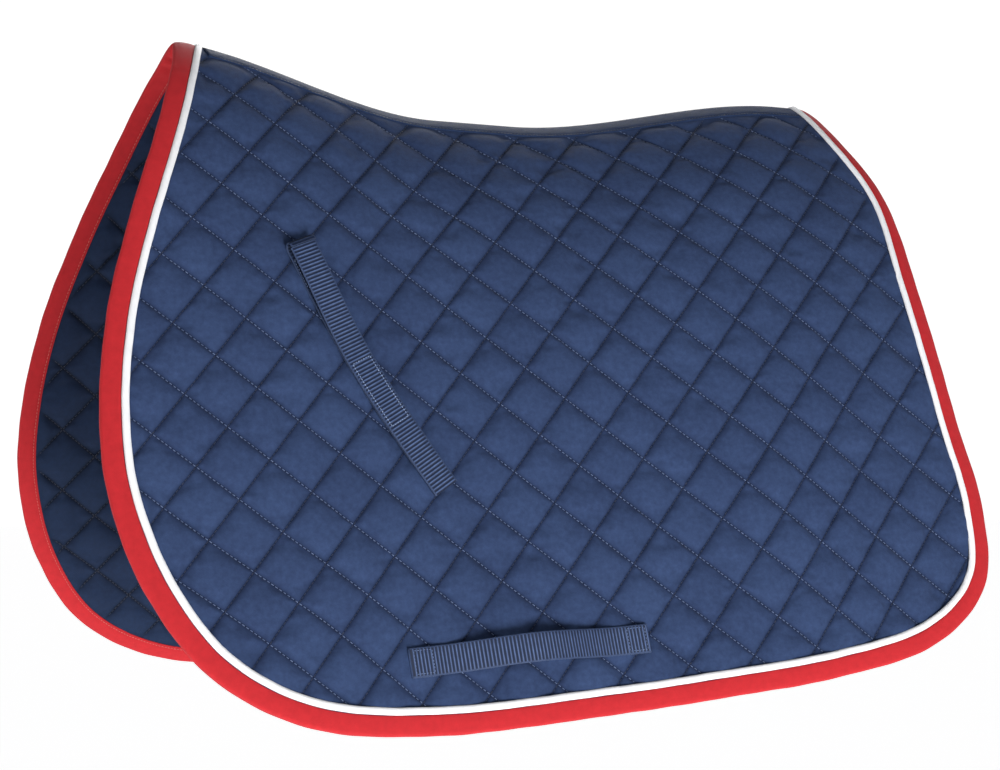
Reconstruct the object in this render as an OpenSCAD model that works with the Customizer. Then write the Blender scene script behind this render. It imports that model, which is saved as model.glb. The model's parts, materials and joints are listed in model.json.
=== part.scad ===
// Quilted saddle pad: two shaped side panels sewn together along the horse's spine.
// +X points to the horse's head, +Y to its left side, +Z up. The origin is on the
// underside of the spine seam, half way along it, where the pad rests on the back.
//
// Every panel is laid out flat first, in the coordinates [x, w]: x runs along the
// horse and w is the drop below the level of the middle of the spine. on_pad() then
// lays that flat pattern over the horse's back.

/* [Topline] */
// How far the front of the spine rises over the withers
withers_rise = 51; // [30:1:60]
// How far the back of the spine rises towards the croup
croup_rise = 40; // [20:1:50]

/* [Cross-section] */
// Slope of the side panel beside the spine, at the front, in degrees
top_slope_front = 20; // [15:1:30]
// Slope of the side panel beside the spine, at the rear, in degrees
top_slope_rear = 26; // [20:1:35]
// Slope of the hanging flap at the front, in degrees
flap_slope_front = 73; // [65:1:80]
// Slope of the hanging flap at the rear, in degrees
flap_slope_rear = 75; // [65:1:80]
// Drop over which the slope changes at the front
bend_front = 70; // [50:1:90]
// Drop over which the slope changes at the rear
bend_rear = 120; // [90:1:140]
// How much the flap turns back in towards the horse over 500 mm, in degrees
tuck_in = 2.6; // [0:0.1:5]

/* [Quilt] */
// Thickness of the quilted sandwich
pad_t = 8; // [7:0.5:10]
// Thickness of the outer fabric and of the lining
cloth_t = 0.8; // [0.6:0.1:1]
// Thickness of the sandwich at its edge, as a share of its full thickness
edge_squash = 0.5; // [0.4:0.05:0.7]

/* [Edge] */
// Width of the binding tape that shows on each face
binding_w = 14.5; // [12:0.5:20]
// Thickness of the binding tape
binding_t = 0.9; // [0.8:0.1:1.2]
// Width of the piping that lies inside the binding
piping_w = 5.5; // [4:0.5:8]
// Height of the piping above the outer fabric
piping_h = 3; // [2:0.1:4]
// Half the width of the tape over the spine seam
spine_tape_w = 24; // [12:1:26]

/* [Fold] */
// Drop of the line along which each flap folds
fold_w = 100; // [95:1:105]
// Half the gap between the crown and a flap
fold_gap = 9; // [8:0.5:12]

/* [Straps] */
// Width of the webbing
webbing_w = 24; // [20:1:26]
// Thickness of the webbing
webbing_t = 1.5; // [1.2:0.1:1.6]
// Length of the billet strap
billet_len = 235; // [215:5:245]
// How far the billet strap bows forward at its middle
billet_bow = 7; // [0:0.5:10]
// Radius of the folded eye at the top of the billet strap
eye_r = 5.5; // [5:0.5:6]
// Length of the girth strap
girth_len = 212; // [190:2:216]
// How far the girth strap bows out from the pad
girth_bow = 14; // [12:1:16]

/* [Hidden] */

navy = [0.2, 0.27, 0.41];
dark_navy = [0.1, 0.15, 0.25];
red = [0.8, 0.16, 0.17];
white = [0.95, 0.95, 0.93];
webbing_blue = [0.17, 0.25, 0.42];
fill_white = [0.9, 0.9, 0.86];

// The outline of one side panel, from the front of the spine round to its rear
outline = [
    [314, -50], [348, 61], [378.5, 150.5], [400.5, 230.5], [411, 310], [408, 384.5],
    [383, 464], [334, 531.5], [257.5, 571], [150, 581], [30, 575], [-90, 565.5],
    [-210, 552], [-306.5, 528], [-367, 478], [-379, 405], [-369, 320], [-358.5, 200],
    [-351.5, 99.5], [-329, 20], [-319, -40]
];
front_corner = 7;
rear_corner = 13;
reference_front = 250;
reference_rear = -285;
withers_start = 75;
withers_length = 260;
croup_length = 285;

// Mesh: cells along the panel, down the flap and down the crown
along_cells = 15;
flap_cells = 11;
crown_cells = 5;
row_spacing = 1.25;

layer_gap = 0.1;
clear = 0.2;
seam_gap = 0.5;

billet_top = [240.5, 174];
billet_turn = 117.3;
girth_front = [180, 525];
girth_turn = 183;
patch_start = 107;
patch_len = 62;
patch_t = 1.2;
patch_inset = 2;
sewn_end = 22;

// ---- Surface of the pad ----

function smooth(t) = let (c = min(1, max(0, t))) c * c * (3 - 2 * c);
function mix(a, b, t) = a + (b - a) * t;
function rise(x) = withers_rise * smooth((x - withers_start) / withers_length)
                 + croup_rise * smooth(-x / croup_length);
function share(x) = (x - reference_rear) / (reference_front - reference_rear);
function top_slope(x) = mix(top_slope_rear, top_slope_front, share(x));
function flap_slope(x) = mix(flap_slope_rear, flap_slope_front, share(x));
function bend(x) = mix(bend_rear, bend_front, share(x));

// Slope of the cross-section at x, a distance v down from the spine
function slope(x, v) = flap_slope(x) - (flap_slope(x) - top_slope(x)) * exp(-v / bend(x))
                     - tuck_in * v / 500;

// Sideways and downward reach of the cross-section at v, by Simpson's rule
simpson = [1, 4, 2, 4, 2, 4, 2, 4, 2, 4, 2, 4, 1];
function total(list, i = 0) = i == len(list) ? 0 : list[i] + total(list, i + 1);
function reach(x, v) = let (
    step = v / 12,
    slopes = [for (i = [0:12]) slope(x, i * step)]
) [
    total([for (i = [0:12]) simpson[i] * cos(slopes[i])]) * step / 3,
    total([for (i = [0:12]) simpson[i] * sin(slopes[i])]) * step / 3
];

// Point above the flat pattern point [x, w]; h = 0 is the face of the outer fabric and
// h = -pad_t the face of the lining. Beside the spine the height turns upright, so
// that the layers of both sides meet in a mitre.
spine_top = pad_t / cos(top_slope(0));
function on_pad(x, w, h) = let (
    v = w + rise(x),
    across = reach(x, v),
    a = slope(x, v),
    k = min(1, max(0, v / 20)),
    up = [k * sin(a), (1 - k) / cos(top_slope(x)) + k * cos(a)]
) [x, across[0] + h * up[0], spine_top + rise(x) - across[1] + h * up[1]];

// ---- Outline of a side panel ----

// Smooth curve through the outline's points; t counts the points
function knot(i) = outline[min(len(outline) - 1, max(0, i))];
function edge(t) = let (
    i = min(len(outline) - 2, floor(t)),
    f = t - i,
    p0 = i == 0 ? 2 * knot(0) - knot(1) : knot(i - 1),
    p1 = knot(i),
    p2 = knot(i + 1),
    p3 = i == len(outline) - 2 ? 2 * knot(i + 1) - knot(i) : knot(i + 2)
) 0.5 * (2 * p1 + (p2 - p0) * f + (2 * p0 - 5 * p1 + 4 * p2 - p3) * f * f
       + (3 * p1 - p0 - 3 * p2 + p3) * f * f * f);
function inward(t) = let (
    d = edge(t + 0.01) - edge(t - 0.01)
) [-d[1], d[0]] / norm(d);
function inset(t, d) = edge(t) + d * inward(t);

// Where the outline crosses the line drop(x) between t0 and t1
function crossing(drop, t0, t1, steps = 20) = steps == 0 ? (t0 + t1) / 2 : let (
    middle = (t0 + t1) / 2,
    beyond = edge(middle)[1] > drop(edge(middle)[0]),
    going_down = edge(t1)[1] > edge(t0)[1]
) beyond == going_down ? crossing(drop, t0, middle, steps - 1) : crossing(drop, middle, t1, steps - 1);

t_end = len(outline) - 1;
flap_top = fold_w + fold_gap;
crown_low = fold_w - fold_gap;
flap_front_t = crossing(function (x) flap_top, 0, front_corner);
flap_rear_t = crossing(function (x) flap_top, rear_corner, t_end);

// ---- Sheets: a flat pattern given thickness and laid over the back ----

// Pattern points are [x, w, fullness]; fullness 1 is the whole thickness and less
// squashes the sandwich towards its middle.
function squashed(h, fullness) = mix(-pad_t / 2, h, fullness);
function lift(points, h) = [for (p = points) on_pad(p[0], p[1], squashed(h, p[2]))];

// Closed solid between two heights over a pattern of triangles with the rim loop
module sheet(points, triangles, loop, low, high) {
    n = len(points);
    last = len(loop) - 1;
    top = [for (f = triangles) [f[2], f[1], f[0]]];
    bottom = [for (f = triangles) [f[0] + n, f[1] + n, f[2] + n]];
    wall = [
        for (i = [0:last])
            let (a = loop[i], b = loop[i == last ? 0 : i + 1])
            each [[a, b, b + n], [a, b + n, a + n]]
    ];
    polyhedron(concat(lift(points, high), lift(points, low)), concat(top, bottom, wall));
}

// The two triangles of a cell whose corners run round anticlockwise
function cell(a, b, c, d) = [[a, b, c], [a, c, d]];

// Rows of a patch get further apart down the flap, where it is straighter
function row(j) = pow(j / flap_cells, row_spacing);

flap_front_ts = [for (j = [0:flap_cells]) mix(flap_front_t, front_corner, row(j))];
flap_rear_ts = [for (j = [0:flap_cells]) mix(flap_rear_t, rear_corner, row(j))];
flap_bottom_ts = [for (i = [0:along_cells]) mix(rear_corner, front_corner, i / along_cells)];

// Point of the flap's inner patch, blended between its four edges
function flap_patch(i, j) = let (
    u = i / along_cells,
    r = row(j),
    x_rear = inset(flap_rear_ts[0], binding_w)[0],
    x_front = inset(flap_front_ts[0], binding_w)[0],
    top = [mix(x_rear, x_front, u), flap_top],
    bottom = inset(flap_bottom_ts[i], binding_w),
    rear = j == 0 ? [x_rear, flap_top] : inset(flap_rear_ts[j], binding_w),
    front = j == 0 ? [x_front, flap_top] : inset(flap_front_ts[j], binding_w),
    corners = mix([mix(x_rear, x_front, u), flap_top],
                  mix(inset(rear_corner, binding_w), inset(front_corner, binding_w), u), r)
) mix(top, bottom, r) + mix(rear, front, u) - corners;

// Stations round the flap's free edge, from the fold at the front to the fold at the rear
flap_ts = concat(
    flap_front_ts,
    [for (i = [along_cells - 1:-1:0]) flap_bottom_ts[i]],
    [for (j = [flap_cells - 1:-1:0]) flap_rear_ts[j]]
);
flap_row = along_cells + 1;
flap_inner = flap_row * (flap_cells + 1);
flap_stations = len(flap_ts);
flap_inner_ids = concat(
    [for (j = [0:flap_cells]) j * flap_row + along_cells],
    [for (i = [along_cells - 1:-1:0]) flap_cells * flap_row + i],
    [for (j = [flap_cells - 1:-1:0]) j * flap_row]
);
function flap_edge(k) = let (p = edge(flap_ts[k]))
    k == 0 || k == flap_stations - 1 ? [p[0], flap_top] : p;
flap_points = concat(
    [for (j = [0:flap_cells], i = [0:along_cells]) let (p = flap_patch(i, j)) [p[0], p[1], 1]],
    [for (k = [0:flap_stations - 1]) let (p = flap_edge(k)) [p[0], p[1], edge_squash]]
);
flap_triangles = concat(
    [
        for (j = [0:flap_cells - 1], i = [0:along_cells - 1])
            let (a = j * flap_row + i)
            each cell(a, a + 1, a + flap_row + 1, a + flap_row)
    ],
    [
        for (k = [0:flap_stations - 2])
            each cell(flap_inner_ids[k], flap_inner + k, flap_inner + k + 1, flap_inner_ids[k + 1])
    ]
);
flap_loop = concat(
    [for (k = [0:flap_stations - 1]) flap_inner + k],
    [for (i = [0:along_cells]) i]
);

// The crown's patch: rows from the spine seam to the fold, with one squashed column
// under the binding at each end
function crown_drop(x, j) = j == 0
    ? seam_gap - rise(x)
    : mix(spine_tape_w - rise(x), crown_low, (j - 1) / (crown_cells - 1));
function crown_front_t(j) = j == 0
    ? 0.02
    : crossing(function (x) crown_drop(x, j), 0, front_corner);
function crown_rear_t(j) = j == 0
    ? t_end - 0.02
    : crossing(function (x) crown_drop(x, j), rear_corner, t_end);
function crown_x(i, j) = i == -1 ? edge(crown_rear_t(j))[0]
    : i == along_cells + 1 ? edge(crown_front_t(j))[0]
    : mix(inset(crown_rear_t(j), binding_w)[0], inset(crown_front_t(j), binding_w)[0], i / along_cells);
crown_row = along_cells + 3;
crown_points = [
    for (j = [0:crown_cells], i = [-1:along_cells + 1])
        let (x = crown_x(i, j))
        [x, crown_drop(x, j), i == -1 || i == along_cells + 1 ? edge_squash : 1]
];
crown_triangles = [
    for (j = [0:crown_cells - 1], i = [0:crown_row - 2])
        let (a = j * crown_row + i)
        each cell(a, a + 1, a + crown_row + 1, a + crown_row)
];
crown_loop = concat(
    [for (i = [0:crown_row - 1]) i],
    [for (j = [1:crown_cells]) j * crown_row + crown_row - 1],
    [for (i = [crown_row - 2:-1:0]) crown_cells * crown_row + i],
    [for (j = [crown_cells - 1:-1:1]) j * crown_row]
);

module flap_sheet(low, high) {
    sheet(flap_points, flap_triangles, flap_loop, low, high);
}

module crown_sheet(low, high) {
    sheet(crown_points, crown_triangles, crown_loop, low, high);
}

// ---- Tapes, piping and webbing: a section swept through stations ----

// Closed solid through rings of points, with triangles that close its two ends
module swept(rings, cap) {
    n = len(rings[0]);
    last = len(rings) - 1;
    points = [for (ring = rings) each ring];
    sides = [
        for (k = [0:last - 1], i = [0:n - 1])
            let (
                j = (i + 1) % n,
                a = k * n + i,
                b = k * n + j,
                c = (k + 1) * n + j,
                d = (k + 1) * n + i
            )
            each [[a, b, d], [b, c, d]]
    ];
    start = [for (f = cap) [f[2], f[1], f[0]]];
    end = [for (f = cap) [f[0] + last * n, f[1] + last * n, f[2] + last * n]];
    polyhedron(points, concat(sides, start, end));
}

// Triangles over a band between two chains of m points each, numbered as one ring
function band_cap(m) = [
    for (i = [0:m - 2])
        each [[i, i + 1, 2 * m - 2 - i], [i, 2 * m - 2 - i, 2 * m - 1 - i]]
];

// The folded binding: [share of its width in from the edge, height] round its section
half_edge = pad_t / 2 * edge_squash;
over = 1 + 1.2 / binding_w;
under = 1 + 0.4 / binding_w;
binding_section = [
    [0, clear + binding_t],
    [over, half_edge - pad_t / 2 + clear + binding_t],
    [over, -half_edge - pad_t / 2 - clear - binding_t],
    [0, -pad_t - clear - binding_t],
    [0, -pad_t - clear],
    [under, -half_edge - pad_t / 2 - clear],
    [under, half_edge - pad_t / 2 + clear],
    [0, clear]
];

// The piping: a low round cord beside the binding
piping_in = 0.3 / binding_w;
piping_share = piping_w / binding_w;
piping_section = [
    [-piping_in - piping_share, clear],
    [-piping_in - 0.85 * piping_share, 0.7 * piping_h],
    [-piping_in - 0.6 * piping_share, piping_h],
    [-piping_in - 0.35 * piping_share, piping_h],
    [-piping_in - 0.12 * piping_share, 0.7 * piping_h],
    [-piping_in, clear]
];

// A section across the edge, between an inner and an outer pattern point
function edge_ring(inner, outer, section) = [
    for (s = section)
        let (p = mix([inner[0], inner[1]], [outer[0], outer[1]], s[0]))
        on_pad(p[0], p[1], s[1])
];
function flap_ring(k, section) =
    edge_ring(flap_points[flap_inner_ids[k]], flap_points[flap_inner + k], section);

// Rings of the crown's front (end = 1) or rear (end = 0) edge, from the left fold over
// the spine to the right fold
function crown_half(end, section) = [
    for (j = [crown_cells:-1:0])
        let (
            out = j * crown_row + end * (crown_row - 1),
            in = j * crown_row + (end == 1 ? crown_row - 2 : 1)
        )
        edge_ring(crown_points[in], crown_points[out], section)
];
function other_side(ring) = [for (p = ring) [p[0], -p[1], p[2]]];
function over_spine(half) = concat(
    [for (k = [0:len(half) - 2]) half[k]],
    [[for (p = half[len(half) - 1]) [p[0], 0, p[2]]]],
    [for (k = [len(half) - 2:-1:0]) other_side(half[k])]
);

module flap_trim(section, cap) {
    swept([for (k = [flap_stations - 1:-1:0]) flap_ring(k, section)], cap);
}

module crown_trim(end, section, cap) {
    rings = over_spine(crown_half(end, section));
    last = len(rings) - 1;
    swept([for (k = [0:last]) rings[end == 1 ? k : last - k]], cap);
}

// Tape lengthwise over the spine seam between two heights. It follows the crown's own
// columns, and ends beside the piping.
module seam_tape(low, high) {
    function across(i) = let (
        ridge_x = crown_x(i, 0),
        side_x = crown_x(i, 1),
        side_low = on_pad(side_x, spine_tape_w - rise(side_x), low),
        side_high = on_pad(side_x, spine_tape_w - rise(side_x), high),
        ridge_low = on_pad(ridge_x, -rise(ridge_x), low),
        ridge_high = on_pad(ridge_x, -rise(ridge_x), high)
    ) [
        [side_x, -side_high[1], side_high[2]],
        ridge_high,
        side_high,
        side_low,
        ridge_low,
        [side_x, -side_low[1], side_low[2]]
    ];
    end_share = (piping_w + 1) / (crown_x(1, 0) - crown_x(0, 0));
    swept(concat(
        [mix(across(0), across(1), end_share)],
        [for (i = [1:along_cells - 1]) across(i)],
        [mix(across(along_cells), across(along_cells - 1), end_share)]
    ), band_cap(3));
}

// Flat pattern point u along and s across a strap that starts at p and runs in the
// direction turn; a bow bends it sideways, most at the middle of the billet strap
function strap_point(p, turn, u, s, bow) = let (
    ahead = [cos(turn), sin(turn)],
    aside = [-sin(turn), cos(turn)],
    bend = 180 * u / billet_len,
    lean = -bow * PI / billet_len * cos(bend)
) p + u * ahead - bow * sin(bend) * aside + s * (aside - lean * ahead) / norm([1, lean]);

// Webbing along a path of stations [u, h, tilt]: tilt is the direction of its upper
// face, 90 where it faces away from the pad
module webbing(p, turn, path, width, thickness, bow = 0) {
    rings = [
        for (q = path) [
            for (c = [[-1, -1], [-1, 1], [1, 1], [1, -1]])
                let (
                    u = q[0] + c[1] * thickness / 2 * cos(q[2]),
                    h = q[1] + c[1] * thickness / 2 * sin(q[2]),
                    f = strap_point(p, turn, u, c[0] * width / 2, bow)
                )
                on_pad(f[0], f[1], h)
        ]
    ];
    swept(rings, [[0, 1, 2], [0, 2, 3]]);
}

// ---- Parts ----

fill_high = -cloth_t - layer_gap;
fill_low = -pad_t + cloth_t + layer_gap;
lining_high = -pad_t + cloth_t;

half_t = webbing_t / 2;
base_h = 2 * clear + half_t;
tab_top_h = base_h + 2 * eye_r;
tab_rest_h = base_h + 2 * half_t + 2 * patch_t + 0.6;
tab_end_drop = 1.4;
tab_gap = 1.5;
girth_h = base_h + webbing_t + 0.6;
girth_fold_r = (girth_h - base_h) / 2;

module billet_base() {
    flat_run = [for (u = [billet_len:-25:25]) [u, base_h, -90]];
    eye = [for (a = [-90:-22.5:-270]) [eye_r * cos(a), base_h + eye_r + eye_r * sin(a), a]];
    color(webbing_blue)
        webbing(billet_top, billet_turn, concat(flat_run, eye), webbing_w, webbing_t, billet_bow);
}

module billet_tab() {
    us = concat([tab_gap], [for (u = [12:14:billet_len - 10]) u], [billet_len]);
    path = [
        for (u = us) [
            u,
            tab_rest_h + (tab_top_h - tab_rest_h) * (1 - smooth(u / patch_start))
                - tab_end_drop * smooth((u - patch_start - patch_len) / 70),
            90
        ]
    ];
    color(webbing_blue)
        webbing(billet_top, billet_turn, path, webbing_w, webbing_t, billet_bow);
}

module billet_patch(low) {
    path = [for (k = [0:3]) [patch_start + patch_len * k / 3, low + patch_t / 2, 90]];
    color(dark_navy)
        webbing(billet_top, billet_turn, path, webbing_w - 2 * patch_inset, patch_t, billet_bow);
}

module loop_patch() {
    billet_patch(base_h + half_t + layer_gap);
}

module hook_patch() {
    billet_patch(tab_rest_h - half_t - layer_gap - patch_t);
}

// Both ends are folded under and sewn down, and the middle bows out for the girth
module girth_strap() {
    span = girth_len - 2 * sewn_end;
    centre_h = base_h + girth_fold_r;
    front_fold = [
        for (a = [-90:-45:-270])
            [girth_fold_r + girth_fold_r * cos(a), centre_h + girth_fold_r * sin(a), a]
    ];
    middle = [
        for (k = [0:12])
            [sewn_end + span * k / 12, girth_h + girth_bow * pow(sin(15 * k), 2), 90]
    ];
    rear_fold = [
        for (a = [90:-45:-90])
            [girth_len - girth_fold_r + girth_fold_r * cos(a), centre_h + girth_fold_r * sin(a), a]
    ];
    path = concat([[sewn_end, base_h, -90]], front_fold, middle, rear_fold,
                  [[girth_len - sewn_end, base_h, -90]]);
    color(webbing_blue) webbing(girth_front, girth_turn, path, webbing_w, webbing_t);
}

module crown_outer() {
    color(navy) crown_sheet(-cloth_t, 0);
}

module crown_wadding() {
    color(fill_white) crown_sheet(fill_low, fill_high);
}

module crown_lining() {
    color(dark_navy) crown_sheet(-pad_t, lining_high);
}

module flap_outer() {
    color(navy) flap_sheet(-cloth_t, 0);
}

module flap_wadding() {
    color(fill_white) flap_sheet(fill_low, fill_high);
}

module flap_lining() {
    color(dark_navy) flap_sheet(-pad_t, lining_high);
}

module flap_binding() {
    color(red) flap_trim(binding_section, band_cap(4));
}

module flap_piping() {
    color(white) flap_trim(piping_section, band_cap(3));
}

module spine_tape() {
    color(dark_navy) seam_tape(clear, clear + binding_t);
}

module spine_seam_tape() {
    color(dark_navy) seam_tape(-pad_t - clear - binding_t, -pad_t - clear);
}

module front_crown_binding() {
    color(red) crown_trim(1, binding_section, band_cap(4));
}

module rear_crown_binding() {
    color(red) crown_trim(0, binding_section, band_cap(4));
}

module front_crown_piping() {
    color(white) crown_trim(1, piping_section, band_cap(3));
}

module rear_crown_piping() {
    color(white) crown_trim(0, piping_section, band_cap(3));
}

// The right side is the left side's mirror image
module right() {
    mirror([0, 1, 0]) children();
}

crown_outer();  // crown_left_outer
right() crown_outer();  // crown_right_outer
crown_wadding();  // crown_left_wadding
right() crown_wadding();  // crown_right_wadding
crown_lining();  // crown_left_lining
right() crown_lining();  // crown_right_lining
spine_tape();
spine_seam_tape();
front_crown_binding();
rear_crown_binding();
front_crown_piping();
rear_crown_piping();
flap_outer();  // left_outer
flap_wadding();  // left_wadding
flap_lining();  // left_lining
flap_binding();  // left_binding
flap_piping();  // left_piping
billet_base();  // left_billet_base
loop_patch();  // left_billet_loop_patch
girth_strap();  // left_girth_strap
billet_tab();  // left_billet_tab
hook_patch();  // left_billet_hook_patch
right() flap_outer();  // right_outer
right() flap_wadding();  // right_wadding
right() flap_lining();  // right_lining
right() flap_binding();  // right_binding
right() flap_piping();  // right_piping
right() billet_base();  // right_billet_base
right() loop_patch();  // right_billet_loop_patch
right() girth_strap();  // right_girth_strap
right() billet_tab();  // right_billet_tab
right() hook_patch();  // right_billet_hook_patch
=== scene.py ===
"""Looks of the quilted saddle pad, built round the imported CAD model.

Every soft piece is laid out flat first, in the CAD part's own pattern coordinates in
millimetres: x runs along the horse, w is the drop below the middle of the spine and h
the height above the outer fabric's face. on_pad() lays that pattern over the back.
"""

import json
import math

import bpy
import numpy as np
from mathutils import Matrix, Vector


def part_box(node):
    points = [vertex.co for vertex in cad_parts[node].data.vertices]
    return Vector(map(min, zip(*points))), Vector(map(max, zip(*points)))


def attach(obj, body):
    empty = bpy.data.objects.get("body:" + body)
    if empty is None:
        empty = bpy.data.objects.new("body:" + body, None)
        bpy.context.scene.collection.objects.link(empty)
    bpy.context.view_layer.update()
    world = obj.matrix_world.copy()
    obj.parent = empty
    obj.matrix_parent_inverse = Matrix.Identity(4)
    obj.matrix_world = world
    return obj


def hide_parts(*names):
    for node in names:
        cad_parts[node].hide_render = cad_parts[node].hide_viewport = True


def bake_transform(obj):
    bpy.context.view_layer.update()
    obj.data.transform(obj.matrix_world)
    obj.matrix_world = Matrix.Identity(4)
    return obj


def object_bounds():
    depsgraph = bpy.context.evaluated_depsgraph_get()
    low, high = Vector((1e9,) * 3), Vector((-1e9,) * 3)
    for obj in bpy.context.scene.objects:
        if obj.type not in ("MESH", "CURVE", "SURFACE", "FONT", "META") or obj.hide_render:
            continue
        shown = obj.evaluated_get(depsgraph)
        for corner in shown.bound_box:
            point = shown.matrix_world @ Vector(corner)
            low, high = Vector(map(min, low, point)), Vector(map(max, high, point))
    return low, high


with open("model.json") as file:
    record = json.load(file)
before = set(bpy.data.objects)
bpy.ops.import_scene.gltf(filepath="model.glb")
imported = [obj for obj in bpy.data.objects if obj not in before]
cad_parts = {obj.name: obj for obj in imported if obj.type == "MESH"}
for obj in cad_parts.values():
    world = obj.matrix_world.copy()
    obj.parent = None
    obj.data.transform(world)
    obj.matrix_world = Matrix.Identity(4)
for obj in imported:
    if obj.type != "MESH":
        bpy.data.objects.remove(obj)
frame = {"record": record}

cad_low, cad_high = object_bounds()
record = frame["record"]
MM = 0.001 * record["size"]["model_scale_k"]
SIDES = {"left": 1, "right": -1}

# ---- Pattern of the pad, in millimetres ----

PAD_T = 8.0
CLOTH_T = 0.7
WITHERS_RISE, WITHERS_START, WITHERS_LENGTH = 51.0, 75.0, 260.0
CROUP_RISE, CROUP_LENGTH = 40.0, 285.0
REAR_X, FRONT_X = -285.0, 250.0
TOP_SLOPE = (26.0, 20.0)
FLAP_SLOPE = (75.0, 73.0)
BEND = (120.0, 70.0)
TUCK_IN = 2.6
RIDGE_RADIUS = 2.5
BINDING_W = 14.5
PIPING_W = 6.2
PIPING_H = 3.1
STITCH_D = 12.0
SPINE_TAPE_W = 24.0

OUTLINE = np.array([
    (314, -50), (348, 61), (378.5, 150.5), (400.5, 230.5), (411, 310), (408, 384.5),
    (383, 464), (334, 531.5), (257.5, 571), (150, 581), (30, 575), (-90, 565.5),
    (-210, 552), (-306.5, 528), (-367, 478), (-379, 405), (-369, 320), (-358.5, 200),
    (-351.5, 99.5), (-329, 20), (-319, -40),
], float)

# Quilting: square cells whose lines cross at QUILT_ORIGIN and run along LINE_A and LINE_B
QUILT_PITCH = 42.6
QUILT_ORIGIN = np.array((313.1, 327.8))
LINE_A = np.array((-math.cos(math.radians(40.1)), math.sin(math.radians(40.1))))
LINE_B = np.array((-math.cos(math.radians(49.7)), -math.sin(math.radians(49.7))))
HALF_CELL = [0, 0.025, 0.065, 0.125, 0.2, 0.29, 0.39, 0.5]
CELL_LINES = np.array(HALF_CELL + [1 - t for t in HALF_CELL[-2::-1]])
CELL_N = len(CELL_LINES) - 1
SEAM_DEPTH = 2.4
PUFF_HEIGHT = 1.9
CLOTH_RIM = 2.5
STITCHES_PER_CELL = 11
THREAD_MARGIN = 19.0
THREAD_R = 0.36


def smooth(t):
    """Eases from 0 to 1 as t does."""
    t = np.clip(t, 0, 1)
    return t * t * (3 - 2 * t)


def mix(a, b, t):
    return a + (b - a) * t


def unit(vectors):
    return vectors / np.linalg.norm(vectors, axis=1)[:, None]


def rise(x):
    """Height of the spine above its lowest point."""
    return (WITHERS_RISE * smooth((x - WITHERS_START) / WITHERS_LENGTH)
            + CROUP_RISE * smooth(-x / CROUP_LENGTH))


def slope(x, v):
    """Slope of the cross-section in radians, a distance v down from the spine."""
    share = (x - REAR_X) / (FRONT_X - REAR_X)
    top, flap, bend = (mix(*ends, share) for ends in (TOP_SLOPE, FLAP_SLOPE, BEND))
    return np.radians(flap - (flap - top) * np.exp(-v / bend) - TUCK_IN * v / 500)


GAUSS, GAUSS_WEIGHT = np.polynomial.legendre.leggauss(10)


def lay(x, w, h):
    """Pattern points laid over the back: sideways, up and the roof's slope at the spine."""
    v = w + rise(x)
    inner = v[..., None] * (GAUSS + 1) / 2
    slopes = slope(x[..., None], inner)
    side = (np.cos(slopes) * GAUSS_WEIGHT).sum(-1) * v / 2
    down = (np.sin(slopes) * GAUSS_WEIGHT).sum(-1) * v / 2
    a = slope(x, v)
    roof = slope(x, 0 * v)
    k = np.clip(v / 20, 0, 1)
    return (side + h * k * np.sin(a),
            rise(x) - down + h * ((1 - k) / np.cos(roof) + k * np.cos(a)), roof)


# The crown's cloth is highest at the front end of the spine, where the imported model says
# how high it is
front_x = np.array([OUTLINE[0, 0]])
_, top_rise, _ = lay(front_x, -rise(front_x), np.zeros(1))
SPINE_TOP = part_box("crown_left_outer")[1].z / MM - top_rise[0]


def sway(x, w):
    """Gentle unevenness of the hanging cloth."""
    return 0.5 * np.sin(x / 41 + 1.3 * np.sin(w / 67)) * np.sin(w / 52 + x / 160 + 0.7)


def on_pad(x, w, h, side=1):
    """Points in metres, in the shared frame, for pattern points [x, w] at height h."""
    x, w, h = np.broadcast_arrays(*(np.asarray(a, float) for a in (x, w, h)))
    h = h + sway(x, w) * smooth((w + rise(x) - 30) / 60)
    y, z, roof = lay(x, w, h)
    z = z + SPINE_TOP - np.tan(roof) * (np.hypot(y, RIDGE_RADIUS) - np.abs(y))
    return np.stack([x, side * y, z], -1) * MM


def face_normals(x, w, h, facing, side):
    """Unit vectors out of the cloth at pattern points: facing 1 outwards, -1 inwards."""
    return unit(on_pad(x, w, h + facing, side) - on_pad(x, w, h, side))


def path_length(a, b):
    """Length along the path through the points [a, b], from its first point."""
    return np.concatenate([[0], np.cumsum(np.hypot(np.diff(a), np.diff(b)))])


def strip_pattern(along, across):
    """Flat pattern of a sweep, in metres, from its lengths along and round its section."""
    s, t = np.meshgrid(along, across, indexing="ij")
    return np.stack([s, t, 0 * s], -1) * MM


# ---- Outline of a side panel ----

def quilt_points(along_a, along_b):
    """Pattern points at so many cells along both families of quilting lines, eased in a
    little round the hollow of the back and towards the edges."""
    p = QUILT_ORIGIN + QUILT_PITCH * (np.asarray(along_a)[..., None] * LINE_A
                                      + np.asarray(along_b)[..., None] * LINE_B)
    x, w = p[..., 0], p[..., 1]
    rear = smooth((-x - 150) / 170) * smooth((w - 140) / 160)
    hollow = np.exp(-((x - 115) / 70) ** 2 - ((w - 95) / 55) ** 2)
    front = smooth((w - 400) / 110) * smooth((x - 130) / 130)
    return np.stack([x + 10 * rear + 3 * hollow - 4 * front,
                     w + 3 * rear + 7 * hollow - 4 * front], -1)


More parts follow.
